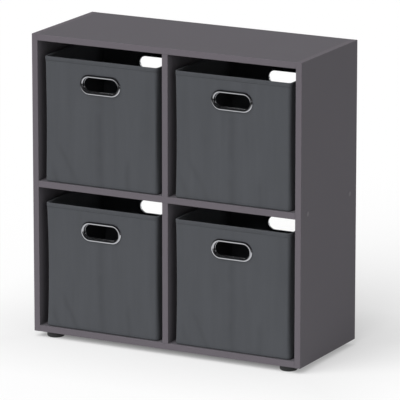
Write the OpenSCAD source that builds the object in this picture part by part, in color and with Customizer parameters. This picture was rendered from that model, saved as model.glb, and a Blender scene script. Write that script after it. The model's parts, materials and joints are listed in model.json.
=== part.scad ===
// Cube storage unit: a carcass of four open cells on round feet, with a fabric bin in each cell.
// Frame: +Z up, +X to the right, the open front faces -Y.
// Origin: on the floor, under the middle of the carcass.

/* [Carcass] */
// Clear width of one cell
cell_w = 330; // [300:1:400]
// Clear height of one cell
cell_h = 337.5; // [320:0.5:400]
// Depth of the carcass, front edge to back edge
carcass_d = 290; // [260:1:380]
// Thickness of every board
board_t = 15; // [15:0.5:22]
// Thickness of the bands on the boards' edges
edge_band_t = 1; // [1:0.1:2]
// Small arris taken off the bands of the front and rear edges
edge_chamfer = 0.6; // [0.3:0.1:0.8]

/* [Feet] */
// Diameter of a foot
foot_d = 42; // [34:1:50]
// Height of a foot
foot_h = 14; // [12:0.5:25]
// Rounding of the lower edge of a foot
foot_edge_r = 4; // [1:0.5:5]
// Foot centre to the outer face of the side panel
foot_side_inset = 43; // [42:1:80]
// Foot centre to the front or back edge of the carcass
foot_end_inset = 28; // [26:1:32]
// Diameter of the foot screw's shank
foot_screw_d = 4; // [3:0.5:5]
// Length of the foot screw's shank above its head
foot_screw_len = 15; // [12:0.5:16]
// Diameter of the foot screw's head
foot_screw_head_d = 9; // [7:0.5:11]
// Height of the foot screw's head
foot_screw_head_h = 3; // [2:0.5:4]
// Plastic left above the screw's head inside a foot
foot_web = 5; // [4:0.5:6]

/* [Dowels] */
// Diameter of a wood dowel
dowel_d = 8; // [6:0.5:9]
// Length of a wood dowel
dowel_len = 30; // [24:1:32]
// Depth of a dowel hole in the face of a side, top or bottom panel
dowel_face_depth = 11; // [8:0.5:11.5]
// Depth of a divider's dowel holes in the two faces of the middle shelf
dowel_shelf_depth = 9; // [7:0.5:11]
// Chamfer at the ends of a dowel
dowel_chamfer = 1; // [0.5:0.25:2]
// Dowel centre to the front or back edge, at the ends of the top and bottom panels
dowel_inset = 32; // [25:1:48]
// Dowel centre to the front or back edge, upper divider
upper_divider_dowel_inset = 55; // [50:1:70]
// Dowel centre to the front or back edge, lower divider
lower_divider_dowel_inset = 90; // [85:1:105]

/* [Cam fittings] */
// Diameter of a cam disc
cam_d = 15; // [12:0.5:16]
// Height of a cam disc
cam_h = 12; // [10.5:0.25:12.5]
// Cam centre to the end of its panel
cam_reach = 24; // [22:1:34]
// Cam centre to the front or back edge
cam_inset = 64; // [60:1:76]
// Depth of a cam bolt's thread in the side panel
cam_thread_depth = 10.5; // [8:0.5:11.5]
// Diameter of a cam bolt's thread
cam_thread_d = 5.8; // [5:0.2:6.2]
// Diameter of a cam bolt's stem
cam_stem_d = 5; // [4:0.25:5.5]
// Diameter of a cam bolt's head and collar
cam_head_d = 7; // [6.5:0.25:7.4]
// Diameter of the bore that takes the cam bolt in the panel's end
cam_bore_d = 8; // [7.8:0.1:9]

/* [Shelf screws] */
// Diameter of a shelf screw's shank, where it passes through the side panel
shelf_screw_d = 7; // [5:0.5:8]
// Core diameter of its thread in the end of the shelf
shelf_screw_core_d = 5; // [3.5:0.5:5]
// Length of the whole shelf screw
shelf_screw_len = 50; // [40:1:70]
// Diameter of its head
shelf_screw_head_d = 10; // [9:0.5:12]
// Height of its head
shelf_screw_head_h = 4; // [3:0.5:5]
// Width across the flats of its hex socket
shelf_screw_socket = 4; // [3:0.5:5]
// Screw centre to the front or back edge
shelf_screw_inset = 35; // [30:1:60]
// Diameter of a cover cap
cap_d = 12; // [11.5:0.5:16]
// Height of a cover cap
cap_h = 0.8; // [0.5:0.1:2]

/* [Bins] */
// Gap between a bin and each side of its cell
bin_side_gap = 13; // [6:0.5:25]
// Distance of a bin's front behind the front edge of the carcass
bin_front_setback = 5; // [4:0.5:30]
// Distance of a bin's back in front of the back edge of the carcass
bin_back_setback = 4; // [4:0.5:40]
// Free height above a bin in its cell
bin_headroom = 36.5; // [15:0.5:80]
// Radius of a bin's upright corners
bin_corner_r = 9; // [6:0.5:16]
// Thickness of one layer of the fabric
fabric_t = 0.8; // [0.5:0.1:1.5]
// Thickness of a stiffener card
card_t = 2; // [1:0.25:3]
// Thickness of the loose base board
base_board_t = 3; // [2:0.25:6]
// Thickness of the binding tape round the rim
tape_t = 0.6; // [0.4:0.1:1.2]
// Height of the binding tape on the wall
tape_h = 10; // [6:0.5:18]

/* [Handles] */
// Width of a handle's opening
grip_w = 92; // [70:1:120]
// Height of a handle's opening
grip_h = 33; // [26:0.5:45]
// Handle centre below the rim of the bin
grip_drop = 57; // [45:1:100]
// Width of the domed flange round the opening
flange_w = 8; // [6.5:0.25:12]
// Height of the domed flange
flange_h = 3.6; // [1.5:0.1:3.7]
// Thickness of the flange at its edges
flange_rim_t = 0.5; // [0.3:0.1:1]
// Wall of the barrel that passes through the bin's wall
barrel_t = 1.2; // [0.8:0.1:2]
// Thickness of the backing ring
backing_t = 1.4; // [1:0.1:2.5]
// Width of the lip that clinches the barrel over the backing ring
clinch_w = 1.5; // [1:0.1:3]
// Thickness of the clinched lip
clinch_t = 0.6; // [0.4:0.1:1]

/* [Hidden] */
$fn = 64;
// Clearance round a dowel, bolt, cam or screw in its hole
hole_play = 0.1;
// Clearance at the end of a band that butts against another
band_play = 0.05;
// Clearance between the layers of a bin
layer_play = 0.1;
// Height at which a soft bin lies clear of its board
bin_seat_gap = 0.3;
// Spare depth at the blind end of a hole
hole_spare = 0.5;
// Steps on each half of the handle's domed flange
crown_steps = 6;
// Overlap of a cutting tool past the face that it cuts
cut = 1;

// Carcass
unit_w = 2 * cell_w + 3 * board_t;
carcass_h = 2 * cell_h + 3 * board_t;
shelf_w = 2 * cell_w + board_t;
half_d = carcass_d / 2;
side_x = unit_w / 2 - board_t;
bottom_z = foot_h;
middle_z = bottom_z + board_t + cell_h;
top_z = middle_z + board_t + cell_h;
// Lowest point of each horizontal board, from the bottom to the top
cell_floors = [bottom_z + board_t, middle_z + board_t];

// Dowels: what is left of a dowel stands in the end of the other board
dowel_end_depth = dowel_len - dowel_face_depth;
dowel_divider_shelf_depth = dowel_len - dowel_shelf_depth;

// Cam fittings
cam_bolt_len = cam_reach + cam_head_d / 2;
cam_collar_h = 2;
cam_neck_d = cam_stem_d - 1.4;
cam_neck_len = 4;

// Feet
foot_bore_d = foot_screw_d + 0.4;
foot_recess_d = foot_screw_head_d + 2;
foot_top_r = 1;
foot_x = unit_w / 2 - foot_side_inset;
foot_y = half_d - foot_end_inset;

// Bins
bin_w = cell_w - 2 * bin_side_gap;
bin_d = carcass_d - bin_front_setback - bin_back_setback;
bin_h = cell_h - bin_headroom;
pocket_t = card_t + 2 * layer_play;
wall_t = 2 * fabric_t + pocket_t;
cover_h = bin_h - tape_t - layer_play;
card_z = fabric_t + layer_play;
card_h = cover_h - card_z - layer_play;
grip_z = bin_h - grip_drop;
// The hole through the layers clears the barrel all round
grip_hole_w = grip_w + 2 * barrel_t + 2 * layer_play;
grip_hole_h = grip_h + 2 * barrel_t + 2 * layer_play;

BIN_NAMES = ["upper_left", "upper_right", "lower_left", "lower_right"];
BIN_PARTS = [
    "cover", "lining", "rim_binding", "end_cards", "side_cards", "base_board",
    "front_handle", "front_handle_backing", "rear_handle", "rear_handle_backing"
];

// Finishes
laminate = [0.42, 0.40, 0.42];
banding = [0.44, 0.41, 0.44];
fabric = [0.33, 0.34, 0.36];

// ---------------------------------------------------------------- shared shapes

// One copy in each of the four corners, mirrored left to right and front to back
module four_ways() {
    left_and_right() for (s = [0, 1]) mirror([0, s, 0]) children();
}

module left_and_right() {
    for (s = [0, 1]) mirror([s, 0, 0]) children();
}

// A rectangle with round corners, centred
module round_rect(w, d, r) {
    square([w - 2 * r, d], center = true);
    square([w, d - 2 * r], center = true);
    for (sx = [-1, 1], sy = [-1, 1]) translate([sx * (w / 2 - r), sy * (d / 2 - r)]) circle(r);
}

// An oval with straight top and bottom, centred
module oval(w, h) {
    square([w - h, h], center = true);
    for (s = [-1, 1]) translate([s * (w - h) / 2, 0]) circle(d = h);
}

// A solid that follows an oval: the child is its section, drawn outwards from the path
module along_oval(w, h) {
    straight = w - h;
    for (s = [-1, 1]) {
        translate([s * straight / 2, 0, 0]) rotate([0, 0, -90 * s])
            rotate_extrude(angle = 180) translate([h / 2, 0]) children();
        rotate([0, 0, 90 - 90 * s]) translate([-straight / 2, 0, 0])
            rotate([90, 0, 90]) linear_extrude(straight) translate([h / 2, 0]) children();
    }
}

// A board of length w that lies flat on z = 0 between the bands of its front and rear edges
module board(w) {
    d = carcass_d - 2 * edge_band_t;
    translate([-w / 2, -d / 2, 0]) cube([w, d, board_t]);
}

// The band on the front edge of a board of length w that lies flat on z = 0
module front_band(w) {
    front = -half_d;
    c = edge_chamfer;
    rotate([90, 0, 90]) translate([0, 0, -w / 2]) linear_extrude(w) polygon([
        [front, c], [front + c, 0], [front + edge_band_t, 0],
        [front + edge_band_t, board_t], [front + c, board_t], [front, board_t - c]
    ]);
}

// A blind hole that starts just outside a face at z = 0 and goes down into it
module blind_hole(d, depth) {
    translate([0, 0, -depth]) cylinder(d = d, h = depth + cut);
}

// ---------------------------------------------------------------- joints between boards

// Children are placed at the right-hand end of a horizontal board, with +Z out of the board
module at_right_end(z, y) {
    translate([side_x, y, z + board_t / 2]) rotate([0, 90, 0]) children();
}

module dowel_hole(depth) {
    blind_hole(dowel_d + 2 * hole_play, depth + hole_spare);
}

// Holes in the end of the top or bottom panel: dowels and the stems of the cam bolts
module panel_end_holes(z) {
    four_ways() {
        at_right_end(z, half_d - dowel_inset) dowel_hole(dowel_end_depth);
        at_right_end(z, half_d - cam_inset) blind_hole(cam_bore_d, cam_bolt_len + hole_spare);
    }
}

// Pockets for the cam discs, open downwards at z
module cam_pockets(z) {
    four_ways() translate([side_x - cam_reach, half_d - cam_inset, z - cut])
        cylinder(d = cam_d + 2 * hole_play, h = cam_h + hole_spare + cut);
}

// Holes in the inner face of a side panel for the end of the top or bottom panel
module side_face_holes(z) {
    for (sy = [-1, 1]) {
        at_right_end(z, sy * (half_d - dowel_inset)) mirror([0, 0, 1]) dowel_hole(dowel_face_depth);
        at_right_end(z, sy * (half_d - cam_inset)) mirror([0, 0, 1])
            blind_hole(cam_thread_d + 2 * hole_play, cam_thread_depth + hole_spare);
    }
}

// Stepped through holes in a side panel for the shelf screws, and the blind holes of its dowels
module shelf_face_holes() {
    for (sy = [-1, 1]) at_right_end(middle_z, sy * (half_d - shelf_screw_inset)) {
        translate([0, 0, -cut]) cylinder(d = shelf_screw_d + 2 * hole_play, h = board_t + 2 * cut);
        translate([0, 0, board_t - shelf_screw_head_h])
            cylinder(d = shelf_screw_head_d + 2 * hole_play, h = shelf_screw_head_h + cut);
    }
    at_right_end(middle_z, 0) mirror([0, 0, 1]) dowel_hole(dowel_face_depth);
}

// Dowel holes down into a face at z, under an upright divider
module divider_dowel_holes(z, inset, depth, up) {
    for (sy = [-1, 1]) translate([0, sy * (half_d - inset), z]) mirror([0, 0, up ? 0 : 1])
        dowel_hole(depth);
}

// ---------------------------------------------------------------- carcass

// Children drawn as a board lying flat on z = 0 stand upright as the right-hand side panel
module as_side_panel() {
    translate([side_x + board_t, 0, bottom_z + carcass_h / 2]) rotate([0, -90, 0]) children();
}

// The same for a divider that stands on z
module as_divider(z) {
    translate([board_t / 2, 0, z + cell_h / 2]) rotate([0, -90, 0]) children();
}

module side_panel() {
    color(laminate) difference() {
        as_side_panel() board(carcass_h - 2 * edge_band_t);
        side_face_holes(bottom_z);
        side_face_holes(top_z);
        shelf_face_holes();
    }
}

module left_side_panel() {
    mirror([1, 0, 0]) side_panel();
}

module right_side_panel() {
    side_panel();
}

module top_panel() {
    color(laminate) difference() {
        translate([0, 0, top_z]) board(shelf_w);
        panel_end_holes(top_z);
        cam_pockets(top_z);
        divider_dowel_holes(top_z, upper_divider_dowel_inset, dowel_face_depth, false);
    }
}

module bottom_panel() {
    color(laminate) difference() {
        translate([0, 0, bottom_z]) board(shelf_w);
        panel_end_holes(bottom_z);
        cam_pockets(bottom_z);
        divider_dowel_holes(bottom_z + board_t, lower_divider_dowel_inset, dowel_face_depth, true);
        four_ways() translate([foot_x, foot_y, bottom_z]) mirror([0, 0, 1])
            blind_hole(foot_screw_d + 2 * hole_play, foot_screw_len - foot_web + hole_spare);
    }
}

module middle_shelf() {
    color(laminate) difference() {
        translate([0, 0, middle_z]) board(shelf_w);
        four_ways() at_right_end(middle_z, half_d - shelf_screw_inset)
            blind_hole(shelf_screw_core_d + 2 * hole_play, shelf_screw_len - board_t + hole_spare);
        left_and_right() at_right_end(middle_z, 0) dowel_hole(dowel_end_depth);
        divider_dowel_holes(middle_z + board_t, upper_divider_dowel_inset, dowel_shelf_depth, true);
        divider_dowel_holes(middle_z, lower_divider_dowel_inset, dowel_shelf_depth, false);
    }
}

// An upright divider that stands on z: its dowel holes are as deep as the dowels stick out
module divider(z, inset, low_depth, high_depth) {
    color(laminate) difference() {
        as_divider(z) board(cell_h);
        divider_dowel_holes(z, inset, low_depth, false);
        divider_dowel_holes(z + cell_h, inset, high_depth, true);
    }
}

module upper_divider() {
    divider(cell_floors[1], upper_divider_dowel_inset, dowel_divider_shelf_depth, dowel_end_depth);
}

module lower_divider() {
    divider(cell_floors[0], lower_divider_dowel_inset, dowel_end_depth, dowel_divider_shelf_depth);
}

// Bands on the front edges of all seven boards
module front_edge_bands() {
    color(banding) {
        left_and_right() as_side_panel() front_band(carcass_h);
        for (z = [bottom_z, middle_z, top_z]) translate([0, 0, z])
            front_band(shelf_w - 2 * band_play);
        for (z = cell_floors) as_divider(z) front_band(cell_h - 2 * band_play);
    }
}

module rear_edge_bands() {
    mirror([0, 1, 0]) front_edge_bands();
}

// Bands on the top and bottom ends of both side panels
module side_panel_end_bands() {
    color(banding) left_and_right() for (z = [bottom_z, bottom_z + carcass_h - edge_band_t])
        translate([side_x, edge_band_t - half_d, z])
            cube([board_t, carcass_d - 2 * edge_band_t, edge_band_t]);
}

// ---------------------------------------------------------------- hardware

// A dowel that stands on z = 0 with chamfered ends
module dowel() {
    c = dowel_chamfer;
    cylinder(d1 = dowel_d - 2 * c, d2 = dowel_d, h = c);
    translate([0, 0, c]) cylinder(d = dowel_d, h = dowel_len - 2 * c);
    translate([0, 0, dowel_len - c]) cylinder(d1 = dowel_d, d2 = dowel_d - 2 * c, h = c);
}

module divider_dowels(z, inset) {
    for (sy = [-1, 1]) translate([0, sy * (half_d - inset), z]) dowel();
}

module wood_dowels() {
    color("burlywood") {
        for (z = [bottom_z, top_z]) four_ways()
            at_right_end(z, half_d - dowel_inset) translate([0, 0, -dowel_end_depth]) dowel();
        left_and_right() at_right_end(middle_z, 0)
            translate([0, 0, -dowel_end_depth]) dowel();
        divider_dowels(bottom_z + board_t - dowel_face_depth, lower_divider_dowel_inset);
        divider_dowels(middle_z + dowel_shelf_depth - dowel_len, lower_divider_dowel_inset);
        divider_dowels(middle_z + board_t - dowel_shelf_depth, upper_divider_dowel_inset);
        divider_dowels(top_z + dowel_face_depth - dowel_len, upper_divider_dowel_inset);
    }
}

// A cam bolt with +Z towards the side panel: the thread lies above z = 0, the head below it
module cam_bolt() {
    cylinder(d = cam_thread_d, h = cam_thread_depth);
    translate([0, 0, -cam_collar_h]) cylinder(d = cam_head_d, h = cam_collar_h);
    translate([0, 0, cam_neck_len - cam_reach])
        cylinder(d = cam_stem_d, h = cam_reach - cam_neck_len - cam_collar_h);
    translate([0, 0, -cam_reach]) cylinder(d = cam_neck_d, h = cam_neck_len);
    translate([0, 0, -cam_bolt_len]) cylinder(d = cam_head_d, h = cam_head_d / 2);
}

module cam_bolts() {
    color("silver") for (z = [bottom_z, top_z]) four_ways()
        at_right_end(z, half_d - cam_inset) cam_bolt();
}

// A cam disc that stands on z = 0, hooked over a bolt that comes in along +X at bolt_z
module cam_disc(bolt_z) {
    slot_d = 1.2;
    slot_w = 1.6;
    slot_len = cam_d * 0.6;
    head_room = cam_head_d + 1;
    difference() {
        cylinder(d = cam_d, h = cam_h);
        // Room for the head, from the far side of the disc to just past its centre
        translate([0.5, 0, bolt_z]) rotate([0, -90, 0]) cylinder(d = head_room, h = cam_d);
        // Slot for the neck, towards the end of the panel
        translate([0, -cam_neck_d / 2 - 0.5, bolt_z - cam_neck_d / 2 - 0.5])
            cube([cam_d, cam_neck_d + 1, cam_neck_d + 1]);
        // Room for the stem where it enters the rim of the disc
        translate([cam_neck_len - 0.5, 0, bolt_z]) rotate([0, 90, 0])
            cylinder(d = cam_stem_d + 1, h = cam_d);
        // Cross slot for the screwdriver
        for (a = [0, 90]) rotate([0, 0, a]) translate([-slot_len / 2, -slot_w / 2, -cut])
            cube([slot_len, slot_w, slot_d + cut]);
    }
}

module cam_discs() {
    color("gray") for (z = [bottom_z, top_z]) four_ways()
        translate([side_x - cam_reach, half_d - cam_inset, z]) cam_disc(board_t / 2);
}

// A shelf screw with +Z out of the side panel and its thread's start at the panel's inner face
module shelf_screw() {
    difference() {
        union() {
            translate([0, 0, board_t - shelf_screw_len])
                cylinder(d = shelf_screw_core_d, h = shelf_screw_len - board_t);
            cylinder(d = shelf_screw_d, h = board_t - shelf_screw_head_h);
            translate([0, 0, board_t - shelf_screw_head_h])
                cylinder(d = shelf_screw_head_d, h = shelf_screw_head_h);
        }
        translate([0, 0, board_t - shelf_screw_head_h + 1])
            cylinder(d = shelf_screw_socket / cos(30), h = shelf_screw_head_h, $fn = 6);
    }
}

module shelf_screws() {
    color("silver") four_ways() at_right_end(middle_z, half_d - shelf_screw_inset) shelf_screw();
}

// A cover cap: a low dome on the panel with a peg in the screw's socket
module screw_cap() {
    peg_len = shelf_screw_head_h / 2;
    peg_d = shelf_screw_socket - 0.3;
    translate([0, 0, board_t - peg_len]) cylinder(d = peg_d, h = peg_len);
    translate([0, 0, board_t]) cylinder(d1 = cap_d, d2 = cap_d - 2 * cap_h, h = cap_h);
}

module screw_caps() {
    color(laminate) four_ways() at_right_end(middle_z, half_d - shelf_screw_inset) screw_cap();
}

// ---------------------------------------------------------------- feet

// Half section of a foot, from its axis outwards
module foot_section() {
    r = foot_d / 2;
    recess_h = foot_h - foot_web;
    difference() {
        union() {
            square([r - foot_edge_r, foot_h]);
            translate([0, foot_edge_r]) square([r, foot_h - foot_edge_r - foot_top_r]);
            translate([r - foot_edge_r, foot_edge_r]) intersection() {
                circle(foot_edge_r);
                translate([0, -foot_edge_r]) square(foot_edge_r);
            }
            translate([0, foot_h - foot_top_r]) square([r - foot_top_r, foot_top_r]);
        }
        translate([-cut, -cut]) square([foot_bore_d / 2 + cut, foot_h + 2 * cut]);
        translate([-cut, -cut]) square([foot_recess_d / 2 + cut, recess_h + cut]);
    }
}

module foot(sx, sy) {
    color([0.12, 0.12, 0.12]) translate([sx * foot_x, sy * foot_y, 0])
        rotate_extrude() foot_section();
}

module foot_screws() {
    color("silver") four_ways() translate([foot_x, foot_y, foot_h - foot_web]) {
        cylinder(d = foot_screw_d, h = foot_screw_len);
        translate([0, 0, -foot_screw_head_h]) cylinder(d = foot_screw_head_d, h = foot_screw_head_h);
    }
}

// ---------------------------------------------------------------- one bin
// Its own frame: x from the middle, y from the outside of its front wall, z from its underside.

// Ring of a given wall, standing on z, that follows the bin's outline a given distance inside
module wall_ring(inside, wall, z, h) {
    translate([0, bin_d / 2, z]) linear_extrude(h) difference() {
        round_rect(bin_w - 2 * inside, bin_d - 2 * inside, bin_corner_r - inside);
        round_rect(bin_w - 2 * (inside + wall), bin_d - 2 * (inside + wall), bin_corner_r - inside - wall);
    }
}

// The floor of a fabric layer, at z
module wall_floor(inside, z) {
    translate([0, bin_d / 2, z]) linear_extrude(fabric_t)
        round_rect(bin_w - 2 * inside, bin_d - 2 * inside, bin_corner_r - inside);
}

// Both handle holes, front to back
module grip_holes() {
    translate([0, bin_d + cut, grip_z]) rotate([90, 0, 0]) linear_extrude(bin_d + 2 * cut)
        oval(grip_hole_w, grip_hole_h);
}

module bin_cover() {
    color(fabric) difference() {
        union() {
            wall_ring(0, fabric_t, 0, cover_h);
            wall_floor(0, 0);
        }
        grip_holes();
    }
}

module bin_lining() {
    inside = fabric_t + pocket_t;
    color(fabric * 0.8) difference() {
        union() {
            wall_ring(inside, fabric_t, fabric_t, cover_h - fabric_t);
            wall_floor(inside, fabric_t);
        }
        grip_holes();
    }
}

// Tape folded over the rim, with a leg on each side of the wall
module bin_rim_binding() {
    leg = tape_t + layer_play;
    color(fabric * 0.9) difference() {
        wall_ring(-leg, wall_t + 2 * leg, bin_h - tape_h, tape_h);
        wall_ring(-layer_play, wall_t + 2 * layer_play, bin_h - tape_h - cut, tape_h - tape_t + cut);
    }
}

module bin_end_cards() {
    card_w = bin_w - 2 * bin_corner_r;
    color("tan") difference() {
        for (y = [fabric_t + layer_play, bin_d - fabric_t - layer_play - card_t])
            translate([-card_w / 2, y, card_z]) cube([card_w, card_t, card_h]);
        grip_holes();
    }
}

module bin_side_cards() {
    card_w = bin_d - 2 * bin_corner_r;
    color("tan") left_and_right()
        translate([bin_w / 2 - fabric_t - layer_play - card_t, bin_corner_r, card_z])
            cube([card_t, card_w, card_h]);
}

module bin_base_board() {
    inside = wall_t + 2 * layer_play + 0.5;
    color("dimgray") translate([0, bin_d / 2, 2 * fabric_t]) linear_extrude(base_board_t)
        round_rect(bin_w - 2 * inside, bin_d - 2 * inside, bin_corner_r - wall_t);
}

// Points of the flat arc that crowns a strip of width w by a height h, left to right, from y = 0
function crown(w, h) =
    let (r = (w * w / 4 + h * h) / (2 * h), half = asin(w / 2 / r))
    [for (i = [-crown_steps:crown_steps]) let (a = half * i / crown_steps)
        [w / 2 + r * sin(a), h - r + r * cos(a)]];

// Section of a handle: a domed flange, the barrel, and the lip that is clinched over the backing
module handle_section() {
    barrel_end = -wall_t - layer_play - backing_t;
    lip_end = barrel_end - clinch_t;
    dome = [for (p = crown(flange_w, flange_h - flange_rim_t)) p + [0, flange_rim_t]];
    polygon(concat(dome, [
        [flange_w, 0], [barrel_t, 0], [barrel_t, barrel_end],
        [barrel_t + clinch_w, barrel_end], [barrel_t + clinch_w, lip_end], [0, lip_end]
    ]));
}

// A handle with +Z out of the wall and the wall's outer face at z = 0
module handle() {
    color("silver") along_oval(grip_w, grip_h) handle_section();
}

// Its backing ring, flat against the lining, round the barrel
module handle_backing() {
    grow = 2 * barrel_t + 2 * layer_play;
    color("silver") translate([0, 0, -wall_t - layer_play - backing_t]) linear_extrude(backing_t)
        difference() {
            oval(grip_w + 2 * flange_w, grip_h + 2 * flange_w);
            oval(grip_w + grow, grip_h + grow);
        }
}

module at_front_grip() {
    translate([0, 0, grip_z]) rotate([90, 0, 0]) children();
}

module at_rear_grip() {
    translate([0, bin_d, grip_z]) rotate([90, 0, 180]) children();
}

module bin_part(part) {
    if (part == "cover") bin_cover();
    if (part == "lining") bin_lining();
    if (part == "rim_binding") bin_rim_binding();
    if (part == "end_cards") bin_end_cards();
    if (part == "side_cards") bin_side_cards();
    if (part == "base_board") bin_base_board();
    if (part == "front_handle") at_front_grip() handle();
    if (part == "front_handle_backing") at_front_grip() handle_backing();
    if (part == "rear_handle") at_rear_grip() handle();
    if (part == "rear_handle_backing") at_rear_grip() handle_backing();
}

// Bins 0 and 1 stand in the upper cells, 2 and 3 in the lower ones, left before right
module in_cell(i) {
    column = i % 2 == 0 ? -1 : 1;
    floor_z = cell_floors[i < 2 ? 1 : 0];
    translate([column * (cell_w + board_t) / 2, bin_front_setback - half_d, floor_z + bin_seat_gap])
        children();
}

// ---------------------------------------------------------------- the pieces

left_side_panel();
right_side_panel();
top_panel();
bottom_panel();
middle_shelf();
upper_divider();
lower_divider();
front_edge_bands();
rear_edge_bands();
side_panel_end_bands();
wood_dowels();
cam_bolts();
cam_discs();
shelf_screws();
screw_caps();
foot(-1, -1);  // front_left_foot
foot(1, -1);  // front_right_foot
foot(-1, 1);  // rear_left_foot
foot(1, 1);  // rear_right_foot
foot_screws();
for (i = [0:len(BIN_NAMES) - 1], part = BIN_PARTS) {
    in_cell(i) bin_part(part);
}
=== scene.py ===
import json
import math

import bpy
import numpy as np
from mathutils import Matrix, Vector


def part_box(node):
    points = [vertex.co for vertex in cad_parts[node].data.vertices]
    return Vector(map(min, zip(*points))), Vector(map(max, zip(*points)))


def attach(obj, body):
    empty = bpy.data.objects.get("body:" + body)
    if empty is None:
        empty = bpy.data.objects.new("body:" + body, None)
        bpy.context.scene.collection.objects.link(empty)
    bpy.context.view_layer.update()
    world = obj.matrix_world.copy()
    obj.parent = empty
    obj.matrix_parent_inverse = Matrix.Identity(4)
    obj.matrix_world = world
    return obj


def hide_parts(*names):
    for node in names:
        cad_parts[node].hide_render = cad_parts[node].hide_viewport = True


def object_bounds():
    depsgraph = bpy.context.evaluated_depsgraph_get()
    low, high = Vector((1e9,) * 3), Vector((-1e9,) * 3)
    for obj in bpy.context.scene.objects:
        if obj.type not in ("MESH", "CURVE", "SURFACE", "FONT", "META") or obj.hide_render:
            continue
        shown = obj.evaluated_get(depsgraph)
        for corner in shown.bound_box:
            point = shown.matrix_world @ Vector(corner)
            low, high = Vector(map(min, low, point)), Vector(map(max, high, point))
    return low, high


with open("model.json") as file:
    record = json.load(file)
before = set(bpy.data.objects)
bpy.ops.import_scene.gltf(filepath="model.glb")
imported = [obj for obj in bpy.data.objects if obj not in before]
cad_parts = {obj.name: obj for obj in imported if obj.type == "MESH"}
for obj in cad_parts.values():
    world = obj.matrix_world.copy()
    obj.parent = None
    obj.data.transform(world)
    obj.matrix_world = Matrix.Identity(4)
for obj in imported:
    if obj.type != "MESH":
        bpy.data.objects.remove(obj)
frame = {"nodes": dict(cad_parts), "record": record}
CAD_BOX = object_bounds()

# Looks of the cube storage unit. Units are metres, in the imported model's own frame:
# +Z up, the open front faces -Y, the origin is on the floor under the middle.

MM = 0.001
BIN_NAMES = ("upper_left", "upper_right", "lower_left", "lower_right")
CLOTH_MAP = "cloth"  # the UV map that the fabrics' materials read

# Layers of a bin's wall
FABRIC_T = 0.8 * MM
CARD_T = 2 * MM
LAYER_PLAY = 0.1 * MM
WALL_T = CARD_T + 2 * (FABRIC_T + LAYER_PLAY)
CORNER_R = 11 * MM
HEM_R = 3.5 * MM  # the fold between a wall and the underside
BOARD_T = 3 * MM
BOARD_PLAY = 0.7 * MM  # between the base board and the wall
TAPE_T = 0.6 * MM
TAPE_DROP = 10 * MM

# How a bin settles: its side walls stand a little inside its plain form, its walls and corners pull in
# between base and rim, and the rim a little too
SIDE_SET = 1.2 * MM
SIDE_PULL = 1.2 * MM
CORNER_PULL = 2.4 * MM
CORNER_REACH = 22 * MM  # the pull of a corner fades over this distance from it
RIM_PULL = 0.6 * MM
WAVE = 0.35 * MM
WAVE_START = 25 * MM  # the waves come up over this height
CALM_ACROSS = 74 * MM  # a handle holds the wall flat over this distance beside its centre
CALM_UP = 44 * MM  # and over this distance above and below it

# The oval grommet handle
FLANGE_W = 8 * MM
FLANGE_H = 3.6 * MM
FLANGE_EDGE = 0.5 * MM  # height of the dome at its two edges
BARREL_T = 1.2 * MM
BEAD_R = 0.65 * MM  # the bead round the barrel's far end
BACKING_T = 1.4 * MM
CLINCH_W = 1.5 * MM
CLINCH_T = 0.6 * MM

# The stitches along the rim
SEAM_RISE = 2.4 * MM  # above the lower edge of the tape
STITCH_PITCH = 4 * MM
STITCH_LENGTH = 3 * MM
STITCH_SLANT = 0.5 * MM
THREAD_R = 0.24 * MM

# How closely a bin's points lie
WALL_STEP = 11 * MM
HEIGHT_STEP = 9 * MM
CORNER_STEPS = 8
FOLD_STEPS = 5
FLOOR_RINGS = (0.35, 0.6, 0.8, 0.93)  # shares of the floor's size

# Painted shade on the front wall of a bin, along creases that a bin stored flat would have: one up
# the middle to the handle, and short ones in the lower corners. The wall's shape has no creases; the
# darkening is colour only. Each has its place beside the middle, its lean, its half width, the height at
# which it ends, and its depth, which is how dark its painted shade is.
PAINTED_CREASE_SHADES = (
    (0, 0, 15 * MM, 240 * MM, 1.0),
    (-61 * MM, -0.51, 11 * MM, 105 * MM, 0.8),
    (-115 * MM, -0.32, 11 * MM, 62 * MM, 0.8),
    (73 * MM, 0, 11 * MM, 85 * MM, 0.8),
)
# The painted shade of the creases fades out over the first of these below where each ends, and wanders to the
# side by up to the second.
PAINTED_CREASE_FADE = 35 * MM
PAINTED_CREASE_WOBBLE = 9 * MM


# ---------------------------------------------------------------- node trees

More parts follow.
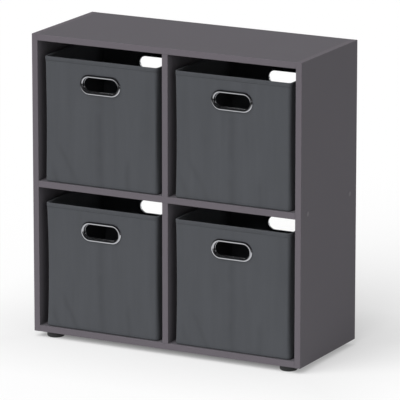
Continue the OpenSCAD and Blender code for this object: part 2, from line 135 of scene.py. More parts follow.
class Graph:
    """The node tree of a material or the world, with short calls that add and link nodes."""

    def __init__(self, owner):
        owner.use_nodes = True
        self.tree = owner.node_tree
        self.tree.nodes.clear()

    def put(self, socket, value):
        if isinstance(value, bpy.types.NodeSocket):
            self.tree.links.new(value, socket)
        else:
            socket.default_value = value

    def add(self, kind, inputs=None, **settings):
        node = self.tree.nodes.new("ShaderNode" + kind)
        for key, value in settings.items():
            setattr(node, key, value)
        for name, value in (inputs or {}).items():
            self.put(node.inputs[name], value)
        return node

    def math(self, operation, *values):
        node = self.add("Math", operation=operation)
        for socket, value in zip(node.inputs, values):
            self.put(socket, value)
        return node.outputs[0]

    def spread(self, value, low, high, start=0.0, end=1.0):
        """value, from start to end, spread over low to high and held there."""
        node = self.add("MapRange", {
            "Value": value, "From Min": start, "From Max": end, "To Min": low, "To Max": high,
        })
        return node.outputs["Result"]

    def blend(self, factor, a, b):
        """The colours a and b mixed, all b where factor is 1."""
        node = self.add("Mix", data_type="RGBA")
        self.put(node.inputs["Factor"], factor)
        self.put(node.inputs["A"], a)
        self.put(node.inputs["B"], b)
        return node.outputs["Result"]

    def choice(self, factor, a, b):
        """The numbers a and b mixed, all b where factor is 1."""
        return self.add("Mix", {"Factor": factor, "A": a, "B": b}).outputs["Result"]

    def noise(self, vector, scale, detail=2.0, roughness=0.5):
        """Noise from 0 to 1, with about as many cells as scale says to each unit of the vector."""
        node = self.add("TexNoise", {
            "Vector": vector, "Scale": scale, "Detail": detail, "Roughness": roughness,
        })
        return node.outputs["Fac"]

    def stretched(self, vector, scale):
        return self.add("Mapping", {"Vector": vector, "Scale": scale}).outputs["Vector"]

    def bump(self, height, depth, strength):
        return self.add("Bump", {"Height": height, "Distance": depth, "Strength": strength}).outputs["Normal"]

    def split(self, vector):
        return self.add("SeparateXYZ", {"Vector": vector}).outputs

    def places(self):
        """Places in the piece's own frame, in metres."""
        return self.add("TexCoord").outputs["Object"]

    def cloth_places(self):
        """Distance round the bin from the middle of its front, and up its wall, in metres."""
        return self.add("UVMap", uv_map=CLOTH_MAP).outputs["UV"]

    def bin_number(self):
        """A number of its own for each bin, from which quarter of the unit it is in."""
        place = self.split(self.places())
        right = self.math("GREATER_THAN", place["X"], 0)
        upper = self.math("GREATER_THAN", place["Z"], CAD_BOX[1][2] / 2)
        return self.math("ADD", self.math("MULTIPLY", right, 3.7), self.math("MULTIPLY", upper, 9.1))

    def rays(self):
        """1 for a ray straight from the camera, and 1 for a ray that leaves a shiny or a clear surface."""
        path = self.add("LightPath").outputs
        mirrored = self.math("MAXIMUM", path["Is Glossy Ray"], path["Is Transmission Ray"])
        return path["Is Camera Ray"], mirrored

    def end(self, kind, shader):
        """Links a shader to the output of a Material or of the World."""
        output = self.add("Output" + kind)
        self.put(output.inputs["Surface"], shader.outputs[0])

    def surface(self, inputs):
        self.end("Material", self.add("BsdfPrincipled", inputs))


# ---------------------------------------------------------------- finishes

def linear(r, g, b):
    """A screen colour, 0 to 255 a channel, as the linear colour that a shader takes."""
    def channel(c):
        c /= 255
        return c / 12.92 if c <= 0.04045 else ((c + 0.055) / 1.055) ** 2.4
    return (channel(r), channel(g), channel(b), 1.0)


def scaled(colour, factor):
    return tuple(c * factor for c in colour[:3]) + (1.0,)


def varied(g, colour, amount, value):
    """colour made up to amount darker or lighter as value goes from 0.3 to 0.7."""
    share = g.spread(value, 0, 1, start=0.3, end=0.7)
    return g.blend(share, scaled(colour, 1 - amount), scaled(colour, 1 + amount))


def laminate(g, colour, roughness):
    """Melamine face of a board: a fine pearl grain that breaks up the gloss."""
    places = g.places()
    cloud = g.noise(places, 5, detail=3)
    speckle = g.noise(places, 900)
    grain = g.noise(places, 1600, detail=3, roughness=0.6)
    tone = varied(g, colour, 0.012, cloud)
    pearl = g.spread(speckle, 0, 0.5, start=0.45, end=0.75)
    g.surface({
        "Base Color": g.blend(pearl, tone, scaled(colour, 1.09)),
        "Roughness": g.spread(grain, roughness - 0.05, roughness + 0.06, start=0.35, end=0.65),
        "Specular IOR Level": 0.12,
        "Normal": g.bump(grain, 0.06 * MM, strength=0.5),
    })


def crease(g, across, up, beside, lean, half_width, top, depth):
    """Painted shade along one of the creases: depth at its middle line, and 0 away from it."""
    line = g.math("SUBTRACT", across, g.math("ADD", beside, g.math("MULTIPLY", up, lean)))
    strength = g.spread(g.math("ABSOLUTE", line), depth, 0, start=0, end=half_width)
    return g.math("MULTIPLY", strength, g.spread(up, 1, 0, start=top - PAINTED_CREASE_FADE, end=top))


def painted_front_shade(g, places):
    """Painted shade, 0 to 1, along the creases of the front wall, whose shape stays smooth. A slow noise
    bends the creases and breaks them up.
    """
    cloth = g.split(places)
    cloud = g.noise(places, 14, detail=3)
    across = g.math("ADD", cloth["X"], g.spread(cloud, -PAINTED_CREASE_WOBBLE, PAINTED_CREASE_WOBBLE))
    shade = 0.0
    for one in PAINTED_CREASE_SHADES:
        shade = g.math("MAXIMUM", shade, crease(g, across, cloth["Y"], *one))
    return g.math("MULTIPLY", shade, g.spread(cloud, 0.35, 1, start=0.3, end=0.6))


def nonwoven(g, colour, creased=False):
    """Spunbond fabric: welded points in rows, loose fibres, soft upright streaks, and painted shade along the
    creases on request.
    """
    places = g.cloth_places()
    cloth = g.split(places)
    own = {"X": cloth["X"], "Y": cloth["Y"], "Z": g.bin_number()}
    own_places = g.add("CombineXYZ", own).outputs[0]

    pitch = 1.6 * MM
    turn = 2 * math.pi / pitch
    across = g.math("SINE", g.math("MULTIPLY", cloth["X"], turn))
    upwards = g.math("SINE", g.math("MULTIPLY", cloth["Y"], turn))
    points = g.spread(g.math("MULTIPLY", across, upwards), 1, 0, start=0.15, end=0.75)
    fibres = g.noise(g.stretched(places, (2200, 900, 1)), 1, detail=3, roughness=0.65)
    streaks = g.noise(g.stretched(own_places, (44, 4, 1)), 1, detail=4, roughness=0.6)
    cloud = g.noise(own_places, 16, detail=3)

    base = varied(g, colour, 0.055, streaks)
    base = g.blend(g.spread(cloud, 0, 0.35, start=0.4, end=0.7), base, scaled(colour, 1.05))
    # Painted shade: the fabric is darkened along the creases of the front wall.
    if creased:
        base = g.blend(g.math("MULTIPLY", painted_front_shade(g, own_places), 0.5), base, scaled(colour, 0.7))
    base = g.blend(g.spread(points, 0.12, 0), base, scaled(colour, 0.6))
    height = g.math("ADD", g.math("MULTIPLY", points, 0.7), g.math("MULTIPLY", fibres, 0.5))
    g.surface({
        "Base Color": base,
        "Roughness": g.spread(fibres, 0.86, 0.98, start=0.3, end=0.7),
        "Specular IOR Level": 0.2,
        "Sheen Weight": 0.06,
        "Sheen Roughness": 0.5,
        "Normal": g.bump(height, 0.12 * MM, strength=0.8),
    })


def thread(g, colour):
    """Sewing thread with a fine twist."""
    twist = g.noise(g.stretched(g.places(), (1, 1, 1.6)), 2600)
    g.surface({
        "Base Color": varied(g, colour, 0.15, twist),
        "Roughness": 0.6,
        "Normal": g.bump(twist, 0.05 * MM, strength=0.7),
    })


def chrome(g, colour, roughness):
    """Plating with a faint ripple and the haze of fingers."""
    places = g.places()
    haze = g.noise(places, 70, detail=4, roughness=0.6)
    ripple = g.noise(places, 140, detail=1)
    g.surface({
        "Base Color": varied(g, colour, 0.03, haze),
        "Metallic": 1.0,
        "Roughness": g.spread(haze, roughness * 0.7, roughness * 1.5, start=0.35, end=0.7),
        "Normal": g.bump(ripple, 0.05 * MM, strength=0.25),
    })


def moulded(g, colour, roughness):
    """Moulded plastic with a spark-eroded grain."""
    places = g.places()
    grain = g.noise(places, 1300, roughness=0.6)
    cloud = g.noise(places, 30, detail=3)
    g.surface({
        "Base Color": varied(g, colour, 0.08, cloud),
        "Roughness": g.spread(grain, roughness - 0.08, roughness + 0.1, start=0.35, end=0.65),
        "Specular IOR Level": 0.4,
        "Normal": g.bump(grain, 0.1 * MM, strength=0.5),
    })


def timber(g, colour):
    """Beech with its grain along X."""
    grain = g.noise(g.stretched(g.places(), (200, 900, 900)), 1, detail=4, roughness=0.6)
    g.surface({
        "Base Color": varied(g, colour, 0.18, grain),
        "Roughness": g.spread(grain, 0.55, 0.75),
        "Normal": g.bump(grain, 0.1 * MM, strength=0.6),
    })


def turned_metal(g, colour, roughness):
    """Metal with fine marks along Z."""
    marks = g.noise(g.stretched(g.places(), (1400, 1400, 120)), 1, detail=3, roughness=0.6)
    g.surface({
        "Base Color": varied(g, colour, 0.08, marks),
        "Metallic": 1.0,
        "Roughness": g.spread(marks, roughness - 0.08, roughness + 0.12, start=0.3, end=0.7),
        "Normal": g.bump(marks, 0.03 * MM, strength=0.5),
    })


def board_card(g, colour):
    """Pulp board with flecks."""
    pulp = g.noise(g.stretched(g.places(), (500, 500, 900)), 1, detail=4, roughness=0.7)
    g.surface({
        "Base Color": varied(g, colour, 0.12, pulp),
        "Roughness": g.spread(pulp, 0.8, 0.95),
        "Normal": g.bump(pulp, 0.08 * MM, strength=0.6),
    })


MATERIALS = {}


def add_material(name, finish, colour, **settings):
    """Makes a material with one of the finishes above and keeps it under its name."""
    material = bpy.data.materials.new(name)
    finish(Graph(material), colour, **settings)
    MATERIALS[name] = material


FABRIC_GREY = linear(80, 82, 86)
add_material("board_laminate", laminate, linear(101, 98, 103), roughness=0.68)
add_material("edge_band", laminate, linear(105, 100, 106), roughness=0.6)
add_material("dowel_wood", timber, linear(214, 184, 138))
add_material("fitting_steel", turned_metal, linear(190, 190, 192), roughness=0.3)
add_material("cam_zinc", turned_metal, linear(160, 160, 163), roughness=0.42)
add_material("cap_plastic", moulded, linear(104, 100, 105), roughness=0.5)
add_material("foot_plastic", moulded, linear(42, 42, 43), roughness=0.5)
# The cover's fabric is darkened along its front wall's creases: painted shade.
add_material("bin_fabric", nonwoven, FABRIC_GREY, creased=True)
add_material("bin_lining", nonwoven, FABRIC_GREY)
add_material("bin_binding", nonwoven, scaled(FABRIC_GREY, 0.94))
add_material("bin_base_board", nonwoven, scaled(FABRIC_GREY, 0.88))
add_material("stiffener_card", board_card, linear(176, 152, 118))
add_material("handle_chrome", chrome, linear(184, 185, 189), roughness=0.07)
add_material("seam_thread", thread, linear(92, 94, 98))


# ---------------------------------------------------------------- meshes

class Loft:
    """Points on a grid of rows and columns, gathered into faces with cloth coordinates."""

    def __init__(self):
        self.points = []
        self.faces = []
        self.uvs = []
        self.count = 0

    def add_points(self, points):
        first = self.count
        self.points.append(np.asarray(points).reshape(-1, 3))
        self.count += len(self.points[-1])
        return first

    def face(self, corners, uvs):
        self.faces.append(corners)
        self.uvs.extend(uvs)

    def grid(self, points, us, vs, wrap_rows=False):
        """Faces over points[row, column]. The columns close on themselves, and with wrap_rows the rows too.
        us and vs are cloth coordinates, one more than there are points in a direction that closes."""
        rows, columns = points.shape[:2]
        first = self.add_points(points)
        for i in range(rows if wrap_rows else rows - 1):
            above = (i + 1) % rows
            for j in range(columns):
                beside = (j + 1) % columns
                corners = ((i, j), (i, beside), (above, beside), (above, j))
                places = ((i, j), (i, j + 1), (i + 1, j + 1), (i + 1, j))
                self.face([first + row * columns + column for row, column in corners],
                          [(us[column], vs[row]) for row, column in places])
        return first

    def cap(self, first, places, flip):
        """One flat face over the ring of points that starts with first, with a cloth place for each."""
        order = list(range(len(places)))
        if flip:
            order.reverse()
        self.face([first + j for j in order], [(places[j][0], places[j][1]) for j in order])

    def turn_over(self):
        """Turns every face the other way round, for a piece whose material doesn't read its cloth places."""
        self.faces = [face[::-1] for face in self.faces]

    def all_points(self):
        return np.concatenate(self.points)


def joined(lofts):
    """Several lofts as one."""
    whole = Loft()
    for loft in lofts:
        first = whole.add_points(loft.all_points())
        whole.faces += [[first + c for c in face] for face in loft.faces]
        whole.uvs += loft.uvs
    return whole


def make_piece(name, loft, material, body, sharp_from):
    """A new piece from a loft, on its body, shaded smooth up to an angle in degrees."""
    mesh = bpy.data.meshes.new(name)
    mesh.from_pydata([tuple(p) for p in loft.all_points()], [], loft.faces)
    layer = mesh.uv_layers.new(name=CLOTH_MAP)
    layer.uv.foreach_set("vector", np.asarray(loft.uvs, np.float32).ravel())
    mesh.materials.append(MATERIALS[material])
    mesh.polygons.foreach_set("use_smooth", [True] * len(mesh.polygons))
    mesh.set_sharp_from_angle(angle=math.radians(sharp_from))
    mesh.update()
    piece = bpy.data.objects.new(name, mesh)
    bpy.context.scene.collection.objects.link(piece)
    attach(piece, body)
    return piece


# ---------------------------------------------------------------- a bin's form

class BinForm:
    """The form that all layers of a bin follow. Local frame: x and y from the bin's middle, z from its
    underside. A place on the wall is told by u, the distance round the outer face from the middle of the rear
    wall, z, and how far it lies inside the outer face."""

    def __init__(self, name, index):
        low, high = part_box(f"{name}_bin_cover")
        rim_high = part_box(f"{name}_bin_rim_binding")[1]
        self.origin = np.array([(low.x + high.x) / 2, (low.y + high.y) / 2, low.z])
        self.half_w = (high.x - low.x) / 2
        self.half_d = (high.y - low.y) / 2
        self.height = rim_high.z - low.z
        grip_low, grip_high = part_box(f"{name}_bin_front_handle")
        self.grip_z = (grip_low.z + grip_high.z) / 2 - low.z
        self.grip_w = grip_high.x - grip_low.x - 2 * FLANGE_W
        self.grip_h = grip_high.z - grip_low.z - 2 * FLANGE_W
        self.phase = 1.7 * index
        self.trace()

    def trace(self):
        """Corner points of the outline: u, the centre that the outer face is CORNER_R away from, and the
        direction of the wall's normal. All three change evenly between one corner point and the next."""
        a, b = self.half_w - CORNER_R, self.half_d - CORNER_R
        arc = CORNER_R * math.pi / 2
        # Each row: the length to the next corner point, the centre's x and y, and the direction in degrees
        stops = (
            (a, 0, b, 90),
            (arc, -a, b, 90),
            (2 * b, -a, b, 180),
            (arc, -a, -b, 180),
            (2 * a, -a, -b, 270),
            (arc, a, -b, 270),
            (2 * b, a, -b, 360),
            (arc, a, b, 360),
            (a, a, b, 450),
            (0, 0, b, 450),
        )
        run = np.cumsum([0] + [s[0] for s in stops[:-1]])
        self.u_stops = run
        self.cx_stops = [s[1] for s in stops]
        self.cy_stops = [s[2] for s in stops]
        self.turn_stops = [math.radians(s[3]) for s in stops]
        self.perimeter = run[-1]
        self.corner_us = [(run[i] + run[i + 1]) / 2 for i in (1, 3, 5, 7)]
        self.front_u = (run[4] + run[5]) / 2
        self.rear_u = 0

    def columns(self):
        """Values of u that follow the outline, without the last one, which is the first again."""
        us = []
        for k in range(len(self.u_stops) - 1):
            start, end = self.u_stops[k], self.u_stops[k + 1]
            at_corner = self.turn_stops[k] != self.turn_stops[k + 1]
            count = CORNER_STEPS if at_corner else max(1, round((end - start) / WALL_STEP))
            us += list(np.linspace(start, end, count, endpoint=False))
        return np.array(us)

    def cloth_us(self, us):
        """Cloth coordinates of a closed row of columns."""
        return np.append(us, self.perimeter) - self.front_u

    def turn_at(self, u):
        """Direction of the wall's normal, in radians."""
        return np.interp(np.mod(u, self.perimeter), self.u_stops, self.turn_stops)

    def distance(self, u, start):
        """How far u lies from start, the short way round the bin."""
        half = self.perimeter / 2
        return (u - start + half) % self.perimeter - half

    def settle(self, u, z, turn):
        """How far the wall stands out from its plain form."""
        share = np.clip(z / self.height, 0, 1)
        belly = np.sin(math.pi * share) ** 0.9
        sideways = np.cos(turn) ** 2
        near_corner = sum(np.exp(-(self.distance(u, c) / CORNER_REACH) ** 2) for c in self.corner_us)
        side_in = sideways * (SIDE_SET + SIDE_PULL * belly + RIM_PULL * share)
        corner_in = CORNER_PULL * belly * near_corner
        return self.waves(u, z) * self.clear_of_grips(u, z) - side_in - corner_in

    def waves(self, u, z):
        """Soft upright folds and a slow bow, none at the base and less at the rim."""
        p = self.phase
        k = 2 * math.pi * u / self.perimeter
        share = np.clip(z / self.height, 0, 1)
        drift = 0.7 * np.sin(z / (90 * MM) + p)
        wide_folds = np.sin(19 * k + p + drift)
        folds = 0.7 * np.sin(31 * k + 2.3 * p - 1.6 * drift)
        fine_folds = 0.5 * np.sin(47 * k - p)
        bow = 2.2 * np.sin(3 * k + 1.3 * p) * np.sin(math.pi * share)
        hold = np.clip(z / WAVE_START, 0, 1) * (1 - 0.75 * share ** 6)
        return WAVE * (wide_folds + folds + fine_folds + bow) * hold

    def clear_of_grips(self, u, z):
        """0 where a handle is clamped to the wall, 1 away from it."""
        clear = 1.0
        for middle in (self.front_u, self.rear_u):
            reach = (self.distance(u, middle) / CALM_ACROSS) ** 6 + ((z - self.grip_z) / CALM_UP) ** 6
            clear = clear * (1 - np.exp(-reach))
        return clear

    def places(self, u, z, inside, shrink=1.0):
        """Points in the row frame, for arrays of u, z and the distance inside the outer face. shrink draws
        them in to the bin's middle."""
        u, z, inside, shrink = np.broadcast_arrays(np.asarray(u, float), z, inside, shrink)
        wrapped = np.mod(u, self.perimeter)
        turn = self.turn_at(u)
        reach = CORNER_R - inside + self.settle(wrapped, z, turn)
        x = np.interp(wrapped, self.u_stops, self.cx_stops) + np.cos(turn) * reach
        y = np.interp(wrapped, self.u_stops, self.cy_stops) + np.sin(turn) * reach
        return np.stack([x * shrink, y * shrink, z], -1) + self.origin


def heights(low, high):
    """Heights from low to high, closer together near both ends."""
    count = max(4, round((high - low) / HEIGHT_STEP))
    t = np.linspace(0, 1, count + 1)
    eased = t - 0.06 * np.sin(2 * math.pi * t)
    return low + (high - low) * eased


# ---------------------------------------------------------------- fabric, tape, cards and base board

def fold_arc(inside, z, radius):
    """Profile points from a flat floor, up round a fold, to an upright wall: (inside, height)."""
    angles = np.radians(np.linspace(-90, 0, FOLD_STEPS + 1))
    return [(inside + radius - radius * math.cos(a), z + radius + radius * math.sin(a)) for a in angles]


def layer_profile(inside, low, top):
    """Profile of one fabric layer: underside, fold, wall, cut edge, wall, fold and floor."""
    wall_heights = heights(low + HEM_R, top)
    outer = fold_arc(inside, low, HEM_R) + [(inside, z) for z in wall_heights[1:]]
    inner = [(inside + FABRIC_T, z) for z in wall_heights[::-1]]
    inner += fold_arc(inside + FABRIC_T, low + FABRIC_T, HEM_R - FABRIC_T)[::-1][1:]
    below = [(inside + HEM_R, low, shrink) for shrink in FLOOR_RINGS]
    above = [(inside + HEM_R, low + FABRIC_T, shrink) for shrink in FLOOR_RINGS[::-1]]
    return below + [(i, z, 1) for i, z in outer + inner] + above


def base_board_profile():
    """Profile of the base board in its fabric: underside, eased edge and a top that is a little full."""
    inside, low, ease, fullness = WALL_T + BOARD_PLAY, 2 * FABRIC_T, 0.9 * MM, 0.2 * MM
    high = low + BOARD_T
    edge = [(inside + ease, low, 1), (inside + 0.3 * ease, low + 0.3 * ease, 1), (inside, low + ease, 1),
            (inside, high - ease, 1), (inside + 0.3 * ease, high - 0.3 * ease, 1), (inside + ease, high, 1)]
    below = [(inside + ease, low, shrink) for shrink in (0.35, 0.65, 0.9)]
    above = [(inside + ease, high + fullness, shrink) for shrink in (0.97, 0.65, 0.35)]
    return below + edge + above


def tape_profile(top):
    """Closed profile of the binding: a strip folded over the rim, its cut edges tucked to the wall."""
    leg = TAPE_T + LAYER_PLAY
    middle = WALL_T / 2
    half = middle + leg
    crown = 2.2 * MM
    springing = top - crown
    tuck = 0.35 * MM
    low = top - TAPE_DROP
    full_low, full_high = low + 0.6 * MM, low + 4 * MM
    turns = np.linspace(0, math.pi, 13)
    over = [(middle - half * math.cos(a), springing + crown * math.sin(a)) for a in turns]
    half_under, crown_under = half - TAPE_T, crown - TAPE_T
    under = [(middle + half_under * math.cos(a), springing + crown_under * math.sin(a)) for a in turns]
    outer_leg = [(-leg + tuck, low), (-leg, full_low), (-leg, full_high)]
    inner_leg = [(WALL_T + leg, full_high), (WALL_T + leg, full_low), (WALL_T + leg - tuck, low)]
    return outer_leg + over + inner_leg + [(WALL_T + LAYER_PLAY, low)] + under + [(-LAYER_PLAY, low)]


def profile_length(profile):
    """Distance along a profile to each of its points."""
    lengths = np.hypot(*np.diff(profile, axis=0).T)
    return np.concatenate([[0], np.cumsum(lengths)])


def shell(form, profile):
    """A closed skin round the bin from a profile of (inside, height, shrink) that starts on the underside and
    ends on the floor inside. Both its end rings are capped. The cloth coordinate up the wall starts where
    the underside ends."""
    us = form.columns()
    inside, z, shrink = np.array(profile).T
    points = form.places(us[None, :], z[:, None], inside[:, None], shrink[:, None])
    lengths = profile_length(np.stack([inside + (1 - shrink) * form.half_w, z], -1))
    lengths -= lengths[np.argmax(shrink)]
    loft = Loft()
    first = loft.grid(points, form.cloth_us(us), lengths)
    loft.cap(first, points[0], flip=True)
    loft.cap(first + (len(z) - 1) * len(us), points[-1], flip=False)
    return loft


def ring_of(form, profile):
    """A closed ring round the bin with a closed profile."""
    us = form.columns()
    inside, z = np.array(profile).T
    points = form.places(us[None, :], z[:, None], inside[:, None])
    lengths = profile_length(np.array(profile + profile[:1]))
    loft = Loft()
    loft.grid(points, form.cloth_us(us), lengths, wrap_rows=True)
    return loft


def slab(form, start_u, end_u, low, high, inside, thickness):
    """A card between two skins, over a stretch of the wall."""
    us = np.linspace(start_u, end_u, max(2, round((end_u - start_u) / WALL_STEP)) + 1)
    levels = heights(low, high)
    outer = form.places(us[None, :], levels[:, None], inside)
    inner = form.places(us[None, ::-1], levels[:, None], inside + thickness)
    around = np.concatenate([outer, inner], axis=1)
    loft = Loft()
    columns = around.shape[1]
    first = loft.grid(around, np.concatenate([us, us[::-1], us[:1]]), levels)
    for row, flip in ((0, True), (len(levels) - 1, False)):
        base = first + row * columns
        for j in range(len(us) - 1):
            corners = [base + j, base + j + 1, base + columns - 2 - j, base + columns - 1 - j]
            if flip:
                corners.reverse()
            loft.face(corners, [(us[j], 0)] * len(corners))
    return loft


def stitching(form, z, inside, outwards):
    """A row of stitches round the bin: short threads whose ends dip into the tape."""
    rings, sides = 5, 6
    count = int(form.perimeter / STITCH_PITCH)
    t = np.linspace(0, 1, rings)
    arch = np.sin(math.pi * t)
    u = np.arange(count)[:, None] * form.perimeter / count + STITCH_LENGTH * t[None, :]
    lift = (0.30 * arch - 0.14) * MM
    slant = STITCH_SLANT * (t - 0.5)
    centre = form.places(u, z + slant[None, :], inside - outwards * lift[None, :])
    turn = form.turn_at(u)
    normal = np.stack([np.cos(turn), np.sin(turn), 0 * turn], -1) * outwards
    up = np.array([0, 0, 1.0])
    angles = np.arange(sides) * 2 * math.pi / sides
    spin = np.cos(angles)[:, None] * normal[:, :, None, :] + np.sin(angles)[:, None] * up
    radius = THREAD_R * (0.55 + 0.45 * arch)
    points = centre[:, :, None, :] + radius[None, :, None, None] * spin
    no_places = np.zeros((sides, 2))
    loft = Loft()
    for stitch in points:
        first = loft.grid(stitch, np.zeros(sides + 1), np.zeros(rings))
        loft.cap(first, no_places, flip=True)
        loft.cap(first + (rings - 1) * sides, no_places, flip=False)
    if outwards > 0:
        loft.turn_over()
    return loft


# ---------------------------------------------------------------- handles

def oval_outline(width, height):
    """Points of an oval with straight top and bottom: the x of the centre that each lies round, and its
    direction in radians."""
    straight_steps, round_steps = 8, 24
    reach = (width - height) / 2
    stops = []
    for side, start in ((1, -90), (-1, 90)):
        stops += [(side * reach, math.radians(start + 180 * i / round_steps)) for i in range(round_steps)]
        stops += [(side * reach * (1 - 2 * i / straight_steps), math.radians(start + 180))
                  for i in range(straight_steps)]
    return stops


def oval_sweep(form, profile, face_y, outwards):
    """A closed profile of (distance from the opening's edge, height off the wall) swept round the grip."""
    centre_x, turn = np.array(oval_outline(form.grip_w, form.grip_h)).T
    out, lift = np.array(profile).T[:, :, None]
    reach = form.grip_h / 2 + out
    x, y, z = np.broadcast_arrays(centre_x + reach * np.cos(turn), outwards * lift, reach * np.sin(turn))
    points = np.stack([x, y, z], -1) + [form.origin[0], face_y, form.origin[2] + form.grip_z]
    loft = Loft()
    us = np.arange(len(turn) + 1) * 2 * MM
    vs = np.arange(len(profile) + 1) * MM
    loft.grid(points, us, vs, wrap_rows=True)
    if outwards < 0:
        loft.turn_over()
    return loft


def grommet_profile():
    """Section of the handle: a domed flange, its rolled edge, the barrel, the clinched lip and a bead round
    the barrel's far end."""
    rise = FLANGE_H - FLANGE_EDGE
    dome_r = (FLANGE_W ** 2 / 4 + rise ** 2) / (2 * rise)
    half = math.asin(FLANGE_W / 2 / dome_r)
    dome = [(FLANGE_W / 2 + dome_r * math.sin(a), FLANGE_H - dome_r + dome_r * math.cos(a))
            for a in np.linspace(-half, half, 29)]
    rolled_edge = [(FLANGE_W, 0.05 * MM), (FLANGE_W - 0.2 * MM, 0)]
    barrel_end = -WALL_T - LAYER_PLAY - BACKING_T
    lip_out, lip_end = BARREL_T + CLINCH_W, barrel_end - CLINCH_T
    lip = [(BARREL_T, 0), (BARREL_T, barrel_end), (lip_out, barrel_end - 0.05 * MM),
           (lip_out + 0.1 * MM, barrel_end - CLINCH_T / 2), (lip_out, lip_end)]
    bead_z = lip_end + BEAD_R
    bead = [(-BEAD_R * math.sin(a), bead_z - BEAD_R * math.cos(a)) for a in np.radians(range(0, 181, 15))]
    return dome + rolled_edge + lip + bead


def backing_profile():
    """Section of the backing ring, a flat washer with eased edges."""
    near, far = -WALL_T - LAYER_PLAY, -WALL_T - LAYER_PLAY - BACKING_T
    ease = 0.3 * MM
    inner = BARREL_T + LAYER_PLAY
    return [(inner, near), (FLANGE_W - ease, near), (FLANGE_W, near - ease), (FLANGE_W, far + ease),
            (FLANGE_W - ease, far), (inner + ease, far), (inner, far + ease)]


def grip_cutter(form):
    """A closed oval bar that runs through both handles' holes."""
    hole = 2 * (BARREL_T + LAYER_PLAY)
    width, height = form.grip_w + hole, form.grip_h + hole
    radius = height / 2
    stops = oval_outline(width, height)
    ring = [(centre_x + radius * math.cos(turn), radius * math.sin(turn)) for centre_x, turn in stops]
    reach = form.half_d + 20 * MM
    centre = form.origin + [0, 0, form.grip_z]
    points = [(x + centre[0], side * reach + centre[1], z + centre[2]) for side in (-1, 1) for x, z in ring]
    n = len(ring)
    faces = [[n + j, n + (j + 1) % n, (j + 1) % n, j] for j in range(n)]
    faces += [list(range(n)), list(range(n, 2 * n))[::-1]]
    mesh = bpy.data.meshes.new("grip_cutter")
    mesh.from_pydata(points, [], faces)
    cutter = bpy.data.objects.new("grip_cutter", mesh)
    bpy.context.scene.collection.objects.link(cutter)
    return cutter


def cut_grips(piece, form):
    """Cuts both handle holes through a piece of the bin."""
    cutter = grip_cutter(form)
    boolean = piece.modifiers.new("grips", "BOOLEAN")
    boolean.operation = "DIFFERENCE"
    boolean.solver = "EXACT"
    boolean.object = cutter
    bpy.context.view_layer.update()
    seen = piece.evaluated_get(bpy.context.evaluated_depsgraph_get())
    cut = bpy.data.meshes.new_from_object(seen)
    piece.modifiers.clear()
    uncut, bar = piece.data, cutter.data
    piece.data = cut
    bpy.data.objects.remove(cutter)
    bpy.data.meshes.remove(uncut)
    bpy.data.meshes.remove(bar)


# ---------------------------------------------------------------- the bins

def bin_piece(bin_name, part, loft, material, node=None, sharp_from=35):
    """A piece that rides on its bin, and that replaces the bin's CAD node, if one is named."""
    body = f"{bin_name}_bin"
    piece = make_piece(f"{body}_{part}", loft, material, body, sharp_from)
    if node:
        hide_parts(f"{bin_name}_bin_{node}")
    return piece


def dress_fabric(name, form, top):
    """Cover, lining and the tape round the rim. top is where the cut edges of cover and lining end."""
    cover_profile = layer_profile(0, 0, top)
    cover = bin_piece(name, "outer_fabric", shell(form, cover_profile), "bin_fabric", "cover")
    cut_grips(cover, form)
    lining_profile = layer_profile(WALL_T - FABRIC_T, FABRIC_T, top)
    lining = bin_piece(name, "inner_fabric", shell(form, lining_profile), "bin_lining", "lining")
    cut_grips(lining, form)
    tape = ring_of(form, tape_profile(form.height))
    bin_piece(name, "rim_tape", tape, "bin_binding", "rim_binding", sharp_from=50)


def dress_cards(name, form, top):
    """The cards between cover and lining, and the base board."""
    inside, low, high = FABRIC_T + LAYER_PLAY, FABRIC_T + 3 * MM, top - 2 * LAYER_PLAY
    u = form.u_stops
    front = slab(form, u[4], u[5], low, high, inside, CARD_T)
    rear = slab(form, u[8], u[9] + u[1], low, high, inside, CARD_T)
    end_cards = bin_piece(name, "bent_end_cards", joined([front, rear]), "stiffener_card", "end_cards")
    cut_grips(end_cards, form)
    left = slab(form, u[2], u[3], low, high, inside, CARD_T)
    right = slab(form, u[6], u[7], low, high, inside, CARD_T)
    bin_piece(name, "bent_side_cards", joined([left, right]), "stiffener_card", "side_cards")
    board = shell(form, base_board_profile())
    bin_piece(name, "covered_base_board", board, "bin_base_board", "base_board", sharp_from=60)


def dress_handles(name, form):
    front_y = form.origin[1] - form.half_d
    rear_y = form.origin[1] + form.half_d
    for side, face_y, outwards in (("front", front_y, -1), ("rear", rear_y, 1)):
        grommet = oval_sweep(form, grommet_profile(), face_y, outwards)
        bin_piece(name, f"{side}_grommet", grommet, "handle_chrome", f"{side}_handle", sharp_from=40)
        backing = oval_sweep(form, backing_profile(), face_y, outwards)
        bin_piece(name, f"{side}_grommet_backing", backing, "handle_chrome", f"{side}_handle_backing",
                  sharp_from=40)


def dress_seams(name, form):
    """A row of stitches on either face of the tape."""
    seam_z = form.height - TAPE_DROP + SEAM_RISE
    leg = TAPE_T + LAYER_PLAY
    seams = joined([stitching(form, seam_z, -leg, 1), stitching(form, seam_z, WALL_T + leg, -1)])
    bin_piece(name, "rim_stitching", seams, "seam_thread", sharp_from=60)


def dress_bin(name, index):
    form = BinForm(name, index)
    top = form.height - TAPE_T - LAYER_PLAY
    dress_fabric(name, form, top)
    dress_cards(name, form, top)
    dress_handles(name, form)
    dress_seams(name, form)


def dress_nodes():
    """Gives each CAD node that stays in view the finish of its own slot."""
    slots = {part["node"]: part["material_slot"] for part in frame["record"]["subparts"]}
    for name, node in frame["nodes"].items():
        node.data.materials.clear()
        node.data.materials.append(MATERIALS[slots[name]])


# ---------------------------------------------------------------- stage

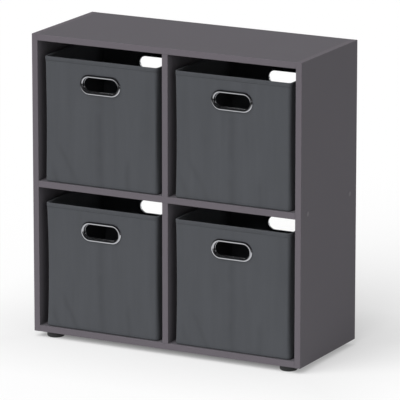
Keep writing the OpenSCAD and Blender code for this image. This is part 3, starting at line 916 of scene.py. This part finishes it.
def add_floor():
    """Pale floor that goes on to the horizon. Seen, it is white away from the unit, and a painted shadow
    darkens it under and close to it. Mirrored, it is white round and behind the unit and falls off to the
    dark of the studio in front.
    It lights the unit as an evenly pale floor."""
    reach = 30
    corners = [(-reach, -reach, 0), (reach, -reach, 0), (reach, reach, 0), (-reach, reach, 0)]
    mesh = bpy.data.meshes.new("floor")
    mesh.from_pydata(corners, [], [(0, 1, 2, 3)])
    floor = bpy.data.objects.new("floor", mesh)
    bpy.context.scene.collection.objects.link(floor)

    material = bpy.data.materials.new("floor_paper")
    g = Graph(material)
    seen, mirrored = g.rays()
    place = g.split(g.places())
    ahead = g.math("MINIMUM", place["Y"], 0)
    away = g.math("SQRT", g.math("ADD", g.math("POWER", place["X"], 2), g.math("POWER", ahead, 2)))
    mirrored_share = g.math("MULTIPLY", mirrored, g.spread(away, 1, 0.04, start=0.8, end=2.6))
    share = g.math("MAXIMUM", seen, mirrored_share)
    lighting = g.math("SUBTRACT", 1, g.math("MAXIMUM", seen, mirrored))
    pale = g.math("ADD", g.math("MULTIPLY", share, 0.5), g.math("MULTIPLY", lighting, 0.72))

    # The seen floor's own glow, by the distance outside the unit's footprint, which is below 0 inside it.
    # The glow is turned down under and close to the unit, which paints a shadow there.
    beside = g.math("SUBTRACT", g.math("ABSOLUTE", place["X"]), CAD_BOX[1][0])
    before = g.math("SUBTRACT", g.math("ABSOLUTE", place["Y"]), CAD_BOX[1][1])
    gap = g.math("MAXIMUM", beside, before)
    painted_shadow_near_glow = g.spread(gap, 0.10, 0.44, start=-0.06, end=0.005)
    painted_shadow_far_glow = g.spread(gap, 0, 0.10, start=0, end=0.3)
    glow_with_painted_shadow = g.math("ADD", painted_shadow_near_glow, painted_shadow_far_glow)

    paper = g.add("BsdfDiffuse", {"Color": pale})
    glow = g.add("Emission", {"Color": (1, 1, 1, 1), "Strength": g.math("MULTIPLY", share, glow_with_painted_shadow)})
    both = g.add("AddShader")
    g.put(both.inputs[0], paper.outputs[0])
    g.put(both.inputs[1], glow.outputs[0])
    g.end("Material", both)
    mesh.materials.append(material)


def add_world():
    """A dome that lights from all round, and more from the right. Seen, it is white. Mirrored, it is a white
    backdrop low behind the unit and a pale rim at the horizon, and the dark of the studio elsewhere."""
    world = bpy.data.worlds.new("studio")
    bpy.context.scene.world = world
    g = Graph(world)
    towards = g.split(g.add("TexCoord").outputs["Generated"])
    behind = g.spread(towards["Y"], 0, 1, start=0, end=0.3)
    backdrop = g.math("MULTIPLY", behind, g.spread(towards["Z"], 1, 0, start=0.25, end=0.45))
    horizon = g.spread(towards["Z"], 0.3, 0.015, start=0, end=0.2)
    dome = g.math("MAXIMUM", backdrop, horizon)
    fill = g.math("ADD", 0.28, g.spread(towards["X"], 0, 0.46, start=0.5, end=0.95))
    seen, mirrored = g.rays()
    strength = g.choice(seen, g.choice(mirrored, fill, dome), 1.0)
    g.end("World", g.add("Background", {"Color": (1, 1, 1, 1), "Strength": strength}))


def add_lamps():
    """A broad key light, high in front and a little to the left. It isn't seen in the metal."""
    key = bpy.data.lights.new("key", "SUN")
    key.energy = 2.6
    key.angle = math.radians(58)
    lamp = bpy.data.objects.new("key", key)
    towards = Vector((-0.19, -0.66, 0.73))
    lamp.rotation_euler = towards.to_track_quat("Z", "Y").to_euler()
    lamp.visible_glossy = False
    bpy.context.scene.collection.objects.link(lamp)


def add_camera():
    """A long lens that looks down on the unit from the front right, its frame a little off the middle."""
    azimuth, elevation = math.radians(27.81), math.radians(13.94)
    distance = 10.237
    framed_right, framed_down = 0.01385, 0.02408
    level = math.cos(elevation)
    right = Vector((math.cos(azimuth), math.sin(azimuth), 0))
    back = Vector((math.sin(azimuth) * level, -math.cos(azimuth) * level, math.sin(elevation)))
    up = back.cross(right)
    centre = Vector((0, 0, CAD_BOX[1][2] / 2))
    target = centre + right * framed_right - up * framed_down
    data = bpy.data.cameras.new("camera")
    data.sensor_width = 36
    data.lens = 392.35
    data.clip_end = 100
    camera = bpy.data.objects.new("camera", data)
    camera.location = target + back * distance
    camera.rotation_euler = back.to_track_quat("Z", "Y").to_euler()
    bpy.context.scene.collection.objects.link(camera)
    bpy.context.scene.camera = camera


# ---------------------------------------------------------------- put together

bpy.context.scene.view_settings.view_transform = "Standard"
add_camera()
add_world()
add_lamps()
add_floor()
dress_nodes()
for index, name in enumerate(BIN_NAMES):
    dress_bin(name, index)
